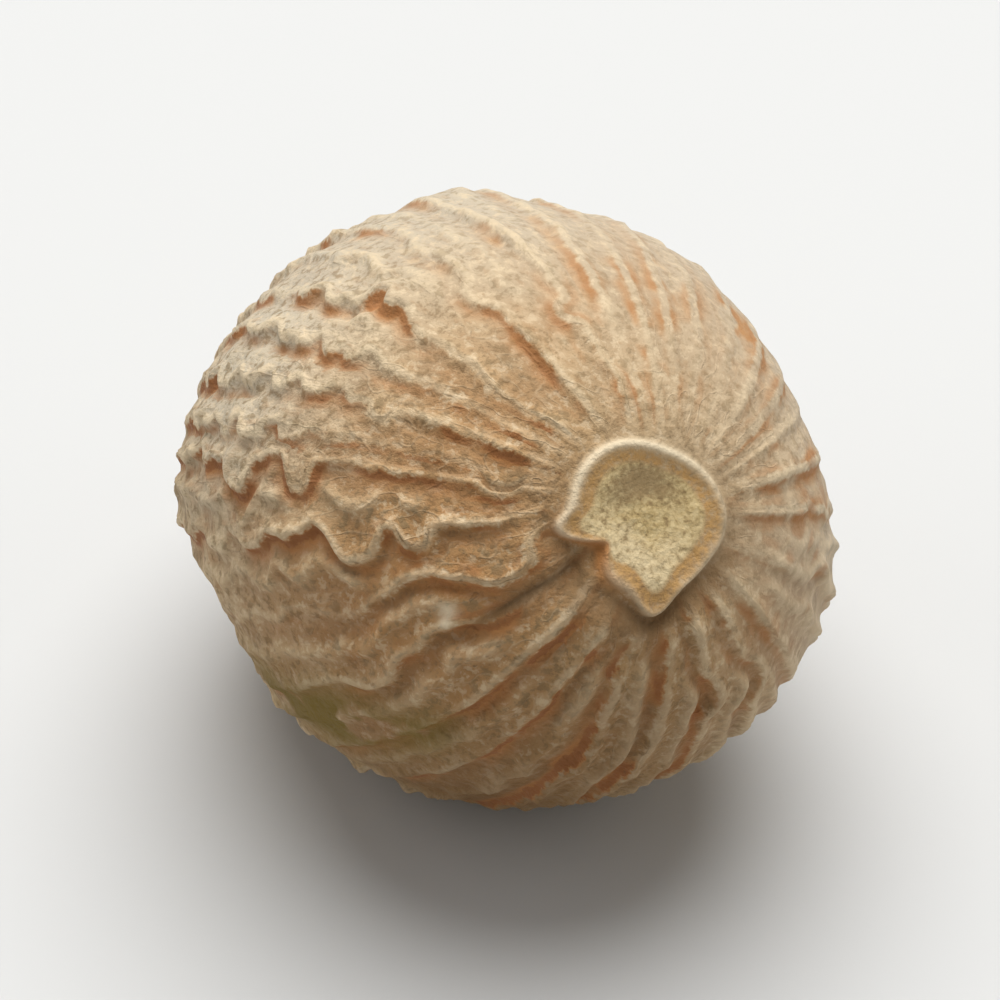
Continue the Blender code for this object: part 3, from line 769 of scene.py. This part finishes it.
def make_coat():
    """The skin of the seed as one closed piece, with every mark as a value at its points.

    At the two ends of the grid a mark is the mean of the ring of points next to it. Returns the centre.
    """
    grid, ends, marks, course = seed_surface()
    grid, ends, centre = set_down(grid, ends)
    rows, columns, _ = grid.shape
    quads, triangles = closed_skin(rows, columns)
    mesh = skin_mesh("wrinkled_coat", np.vstack([grid.reshape(-1, 3), ends]), quads, triangles)
    for name, values in marks.items():
        values = np.broadcast_to(values, (rows, columns))
        at_ends = [values[0].mean(), values[-1].mean()]
        mark = mesh.attributes.new(name, "FLOAT", "POINT")
        mark.data.foreach_set("value", np.append(values.ravel(), at_ends).astype(np.float32))
    along = mesh.attributes.new("course", "FLOAT_VECTOR", "POINT")
    at_ends = [course[0].mean(axis=0), course[-1].mean(axis=0)]
    along.data.foreach_set("vector", np.vstack([course.reshape(-1, 3), at_ends]).astype(np.float32).ravel())
    coat = bpy.data.objects.new("wrinkled_coat", mesh)
    bpy.context.scene.collection.objects.link(coat)
    mesh.materials.append(coat_material())
    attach(coat, "root")
    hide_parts("nutmeg")
    return centre


class Recipe:
    """Short ways to put nodes into one material; each gives back the output that the next one takes."""

    def __init__(self, name):
        self.material = bpy.data.materials.new(name)
        self.material.use_nodes = True
        self.tree = self.material.node_tree
        self.shader = self.tree.nodes["Principled BSDF"]

    def feed(self, socket, value):
        if isinstance(value, bpy.types.NodeSocket):
            self.tree.links.new(value, socket)
        else:
            socket.default_value = value

    def mark(self, name, output="Fac"):
        node = self.tree.nodes.new("ShaderNodeAttribute")
        node.attribute_name = name
        return node.outputs[output]

    def own_place(self):
        """Object coordinates in millimetres."""
        place = self.tree.nodes.new("ShaderNodeTexCoord")
        node = self.tree.nodes.new("ShaderNodeVectorMath")
        node.operation = "SCALE"
        node.inputs["Scale"].default_value = 1.0 / MM
        self.tree.links.new(place.outputs["Object"], node.inputs[0])
        return node.outputs["Vector"]

    def math(self, operation, first, second=0.0):
        node = self.tree.nodes.new("ShaderNodeMath")
        node.operation = operation
        self.feed(node.inputs[0], first)
        self.feed(node.inputs[1], second)
        return node.outputs["Value"]

    def times(self, first, second):
        return self.math("MULTIPLY", first, second)

    def plus(self, first, second):
        return self.math("ADD", first, second)

    def less(self, first, second):
        """The first less the second."""
        return self.math("SUBTRACT", first, second)

    def larger(self, first, second):
        return self.math("MAXIMUM", first, second)

    def at_most(self, value, limit):
        return self.math("MINIMUM", value, limit)

    def spread(self, value, low, high):
        """0 at low and 1 at high, with an even S-curve between; low may be the larger one."""
        node = self.tree.nodes.new("ShaderNodeMapRange")
        node.interpolation_type = "SMOOTHSTEP"
        self.feed(node.inputs["Value"], value)
        node.inputs["From Min"].default_value = low
        node.inputs["From Max"].default_value = high
        return node.outputs["Result"]

    def noise(self, place, per_mm, detail=3.0, roughness=0.6):
        node = self.tree.nodes.new("ShaderNodeTexNoise")
        self.feed(node.inputs["Vector"], place)
        node.inputs["Scale"].default_value = per_mm
        node.inputs["Detail"].default_value = detail
        node.inputs["Roughness"].default_value = roughness
        return node.outputs["Fac"]

    def cells(self, place, per_mm, feature="F1"):
        node = self.tree.nodes.new("ShaderNodeTexVoronoi")
        node.feature = feature
        self.feed(node.inputs["Vector"], place)
        node.inputs["Scale"].default_value = per_mm
        return node.outputs["Distance"]

    def shaken(self, place, by, reach):
        """The place moved by a value times a reach along all three axes, to make a pattern there uneven."""
        node = self.tree.nodes.new("ShaderNodeVectorMath")
        node.operation = "ADD"
        self.feed(node.inputs[0], place)
        self.feed(node.inputs[1], self.times(by, reach))
        return node.outputs["Vector"]

    def mix(self, factor, low, high):
        node = self.tree.nodes.new("ShaderNodeMix")
        node.data_type = "RGBA"
        self.feed(node.inputs[0], factor)
        self.feed(node.inputs[6], low)
        self.feed(node.inputs[7], high)
        return node.outputs[2]


def skin_patterns(make, place):
    """Speckle, fibres along the folds, how rough the skin is, and how ragged that makes the edges on it.

    The skin is 0.6 smoother where it is rosy. The fibres fade to their middle value on the scar.
    """
    speck = make.noise(place, 2.6, 3.0, 0.62)
    fibre = make.noise(make.mark("course", "Vector"), 2.2, 3.0, 0.62)
    fibre = make.less(fibre, make.times(make.less(fibre, 0.5), make.mark("scar")))
    rough_skin = make.less(1.0, make.times(make.mark("rosy"), 0.6))
    ragged = make.times(make.less(speck, 0.5), make.times(rough_skin, 0.45))
    return speck, fibre, rough_skin, ragged


def pale_net(make, ragged):
    """Fine pale veins where their noise is near 0, a pale net in places, and the flecks in its meshes."""
    veins = make.plus(make.math("ABSOLUTE", make.mark("vein")), make.times(ragged, 0.5))
    veins = make.times(make.spread(veins, 0.14, 0.0), 0.5)
    net = make.spread(make.plus(make.mark("net_edge"), ragged), 0.34, 0.04)
    veins = make.larger(veins, make.times(net, make.mark("net")))
    veins = make.times(veins, make.less(1.0, make.mark("scar")))
    flecks = make.times(make.spread(make.mark("net_edge"), 0.16, 0.5), make.mark("net"))
    return veins, make.times(flecks, make.spread(make.mark("patchy"), -0.1, 0.45))


def floor_colour(make, speck, fibre, rough_skin, veins, flecks):
    """The coat between the folds: mottled beige, tinted in patches (the pale one partly painted light), then
    fibres, specks, veins, and painted shade in the hollows.
    """
    colour = make.mix(make.spread(make.mark("mottle"), -0.5, 0.5), FLOOR_GREY, FLOOR_BEIGE)
    colour = make.mix(make.mark("rosy"), colour, ROSY_BEIGE)
    # The pale patches: chalky bloom, and in part painted light on the upper side.
    colour = make.mix(make.mark("pale"), colour, CHALK_AND_TOP_LIGHT)
    colour = make.mix(make.mark("warm"), colour, WARM_BROWN)
    brown = make.times(make.spread(fibre, 0.53, 0.68), 0.42)
    colour = make.mix(make.times(brown, rough_skin), colour, FIBRE_BROWN)
    colour = make.mix(make.times(make.spread(fibre, 0.47, 0.32), 0.38), colour, PALE_SKIN)
    grey = make.times(make.spread(speck, 0.52, 0.63), 0.75)
    colour = make.mix(make.times(grey, rough_skin), colour, SPECK_GREY)
    colour = make.mix(make.times(make.spread(speck, 0.46, 0.34), 0.55), colour, PALE_SKIN)
    colour = make.mix(make.times(veins, 0.45), colour, PALE_SKIN)
    colour = make.mix(make.times(flecks, 0.55), colour, WALL_SOFT)
    # Painted shade in the hollows, stronger where warm and on the dim lower side.
    hollow_shade_strength = make.at_most(make.plus(make.mark("warm"), make.mark("dim")), 1.0)
    hollow_shade_strength = make.plus(make.times(hollow_shade_strength, 0.45), 0.12)
    return make.mix(make.times(make.mark("hollow"), hollow_shade_strength), colour, HOLLOW_SHADE_BROWN)


def crest_line(make, off_crest, strength):
    """How pale the skin is along crests, links and minor folds; uneven, and duller where warm or rosy."""
    line = make.times(make.spread(off_crest, 0.24, 0.04), strength)
    line = make.larger(line, make.larger(make.mark("link"), make.mark("minor")))
    line = make.at_most(make.times(line, make.spread(make.mark("patchy"), 0.7, -0.3)), 0.9)
    dulled = make.times(make.larger(make.mark("warm"), make.mark("rosy")), 0.35)
    return make.times(line, make.less(0.75, dulled))


def rust_and_shade_sides(make, off_crest, strength, rough_skin):
    """The rust-brown and painted shade on the steep side of a fold, the side turned from the lamp: the soft
    wall from its edge outwards, and the crease in it, which is darker with painted shade.

    Both are a band of distances from the crest, times how steep, strong and unevenly rust-brown that side is.
    """
    patchy = make.mark("patchy")
    side = make.times(make.spread(make.mark("steep_side"), -0.6, 0.6), strength)
    side = make.plus(make.times(side, rough_skin), make.times(make.mark("orange"), 0.9))
    side = make.times(side, make.spread(patchy, -0.5, 0.4))
    wall = make.times(make.spread(off_crest, 0.08, 0.22), make.spread(off_crest, 0.95, 0.20))
    wall = make.at_most(make.times(wall, side), 0.85)
    crease = make.times(make.spread(off_crest, 0.14, 0.24), make.spread(off_crest, 0.50, 0.30))
    crease = make.times(make.times(crease, side), make.spread(patchy, -0.3, 0.5))
    crease = make.at_most(make.times(crease, 1.5), 0.8)
    return wall, make.times(crease, rough_skin)


def add_folds(make, colour, line, wall, crease):
    """Lays the folds over the floor: pale lines, painted shade on the lower side, then rust-brown with
    painted shade, brighter in places.
    """
    colour = make.mix(line, colour, PALE_SKIN)
    # Painted shade: the lower side darker brown.
    colour = make.mix(make.times(make.mark("dim"), 0.85), colour, LOWER_SIDE_SHADE_BROWN)
    bright = make.larger(make.mark("orange"), make.mark("rosy"))
    # Rust-brown and painted shade on the steep walls, then darker painted shade in the creases.
    colour = make.mix(wall, colour, make.mix(bright, WALL_SOFT, STREAK_ORANGE))
    return make.mix(crease, colour, make.mix(bright, CREASE_SHADE_RED, WALL_SOFT))


def add_spots(make, colour, place, speck, rough_skin):
    """Lays spots over the folds: pits at the middles of scattered cells, lichen darkened in part as painted
    shade, chalk, and painted shade in the moat and groove.
    """
    mottle = make.mark("mottle")
    pits = make.spread(make.cells(make.shaken(place, speck, 0.9), 2.1), 0.26, 0.08)
    pits = make.times(make.times(pits, rough_skin), make.spread(mottle, 0.0, 0.5))
    colour = make.mix(make.times(pits, 0.45), colour, PIT_DARK)
    # The lichen: yellow-green, darkened in part as painted shade.
    yellow = make.times(make.mark("lichen"), make.spread(mottle, -0.6, 0.1))
    colour = make.mix(yellow, colour, LICHEN_GREEN_AND_SHADE)
    colour = make.mix(make.times(make.mark("chalk"), 0.8), colour, RIM_PALE)
    # Painted shade in the moat and the groove.
    recess_shade = make.larger(make.mark("moat"), make.mark("groove"))
    return make.mix(make.times(recess_shade, 0.8), colour, RECESS_SHADE_GREY)


def add_scar(make, colour, place):
    """Lays the scar over all: the grainy dish with painted shade on its upper side and painted light on its
    lower side, then the band, the cliff with its painted shade, and the rim.
    """
    fine = make.noise(place, 4.6, 2.0, 0.6)
    dish = make.mix(make.spread(fine, 0.35, 0.6), DISH_CREAM, DISH_OLIVE)
    # Painted light: the lower part of the dish paler.
    dish = make.mix(make.times(make.mark("dish_light"), 0.35), dish, RIM_PALE)
    # Painted shade on the upper part of the dish, uneven with the grain.
    shade = make.plus(make.mark("shade"), make.less(fine, 0.5))
    dish = make.mix(make.times(make.spread(shade, 0.15, 0.95), 0.85), dish, DISH_SHADE_GREY)
    dish = make.mix(make.times(make.spread(fine, 0.53, 0.74), 0.7), dish, DISH_SPECK)
    colour = make.mix(make.mark("floor"), colour, dish)
    band = make.times(make.mark("band"), make.spread(fine, 0.75, 0.35))
    colour = make.mix(band, colour, BAND_TAN)
    # The cliff: orange-brown with painted shade.
    colour = make.mix(make.times(make.mark("cliff"), 0.9), colour, CLIFF_BROWN_AND_SHADE)
    return make.mix(make.times(make.mark("rim"), 0.85), colour, RIM_PALE)


def add_grain(make, speck, fibre, rough_skin, veins):
    """The dry finish: roughness rises with the speckle; speckle, fibres and veins stand a little proud."""
    make.feed(make.shader.inputs["Roughness"], make.plus(make.times(speck, 0.3), 0.62))
    make.shader.inputs["Specular IOR Level"].default_value = 0.3
    grain = make.plus(make.times(speck, 0.9), make.times(fibre, 0.5))
    grain = make.times(make.plus(grain, make.times(veins, 0.25)), rough_skin)
    relief = make.tree.nodes.new("ShaderNodeBump")
    relief.inputs["Distance"].default_value = BUMP_DEPTH
    relief.inputs["Strength"].default_value = 1.0
    make.feed(relief.inputs["Height"], grain)
    make.feed(make.shader.inputs["Normal"], relief.outputs["Normal"])


def coat_material():
    """The dry coat: mottled beige, pale on the crests, rust-brown with painted shade on the walls, with the
    scar on top.
    """
    make = Recipe("dry_seed_coat")
    place = make.own_place()
    speck, fibre, rough_skin, ragged = skin_patterns(make, place)
    veins, flecks = pale_net(make, ragged)
    off_crest = make.plus(make.mark("off_crest"), ragged)
    strength = make.times(make.mark("strength"), 1.25)
    line = crest_line(make, off_crest, strength)
    wall, crease = rust_and_shade_sides(make, off_crest, strength, rough_skin)
    colour = floor_colour(make, speck, fibre, rough_skin, veins, flecks)
    colour = add_folds(make, colour, line, wall, crease)
    colour = add_spots(make, colour, place, speck, rough_skin)
    make.feed(make.shader.inputs["Base Color"], add_scar(make, colour, place))
    add_grain(make, speck, fibre, rough_skin, veins)
    return make.material


# ---------------------------------------------------------------- floor, light and camera
VIEW_LIFT = 43.0
VIEW_DISTANCE = 0.240
LENS = 250.0
SENSOR = 36.0
NEAR_CLIP = 0.01
FLOOR_HALF = 3.0
FLOOR_COLOUR = (0.62, 0.62, 0.61, 1.0)
FLOOR_ROUGHNESS = 0.6
SKY_COLOUR = (0.95, 0.96, 0.95, 1.0)
SKY_STRENGTH = 0.25

# The lamps: name, place, diameter and power.
LAMPS = (
    ("key", (0.01, 0.13, 0.45), 0.52, 3.08),
    ("fill", (-0.45, -0.05, 0.30), 0.5, 0.42),
    ("side", (0.45, -0.04, 0.22), 0.4, 0.26),
)


def make_floor():
    """A square of floor at height 0."""
    mesh = bpy.data.meshes.new("floor")
    half = FLOOR_HALF
    corners = [(-half, -half, 0.0), (half, -half, 0.0), (half, half, 0.0), (-half, half, 0.0)]
    mesh.from_pydata(corners, [], [(0, 1, 2, 3)])
    floor = bpy.data.objects.new("floor", mesh)
    bpy.context.scene.collection.objects.link(floor)
    material = bpy.data.materials.new("pale_floor")
    material.use_nodes = True
    shader = material.node_tree.nodes["Principled BSDF"]
    shader.inputs["Base Color"].default_value = FLOOR_COLOUR
    shader.inputs["Roughness"].default_value = FLOOR_ROUGHNESS
    mesh.materials.append(material)


def aim(item, target):
    """Turns a lamp or camera to look at the target."""
    item.rotation_euler = (Vector(target) - item.location).to_track_quat("-Z", "Y").to_euler()


def make_light(name, place, size, power, target):
    """A soft round lamp that looks at the target."""
    data = bpy.data.lights.new(name, "AREA")
    data.shape = "DISK"
    data.size = size
    data.energy = power
    light = bpy.data.objects.new(name, data)
    bpy.context.scene.collection.objects.link(light)
    light.location = place
    aim(light, target)


def make_camera(target):
    """The camera: in front of the seed, VIEW_LIFT above level and VIEW_DISTANCE away from the target."""
    data = bpy.data.cameras.new("camera")
    data.lens = LENS
    data.sensor_width = SENSOR
    data.clip_start = NEAR_CLIP
    camera = bpy.data.objects.new("camera", data)
    bpy.context.scene.collection.objects.link(camera)
    lift = np.radians(VIEW_LIFT)
    camera.location = Vector(target) + VIEW_DISTANCE * Vector((0.0, -np.cos(lift), np.sin(lift)))
    aim(camera, target)
    bpy.context.scene.camera = camera


def make_surroundings(centre):
    """The floor, the lamps round the centre, and a weak even light from all sides."""
    make_floor()
    for name, place, size, power in LAMPS:
        make_light(name, place, size, power, centre)
    world = bpy.data.worlds.new("studio")
    bpy.context.scene.world = world
    world.use_nodes = True
    background = world.node_tree.nodes["Background"]
    background.inputs["Color"].default_value = SKY_COLOUR
    background.inputs["Strength"].default_value = SKY_STRENGTH
    bpy.context.scene.view_settings.view_transform = "Standard"


centre = make_coat()
make_surroundings(centre)
make_camera(centre)
bpy.context.view_layer.update()
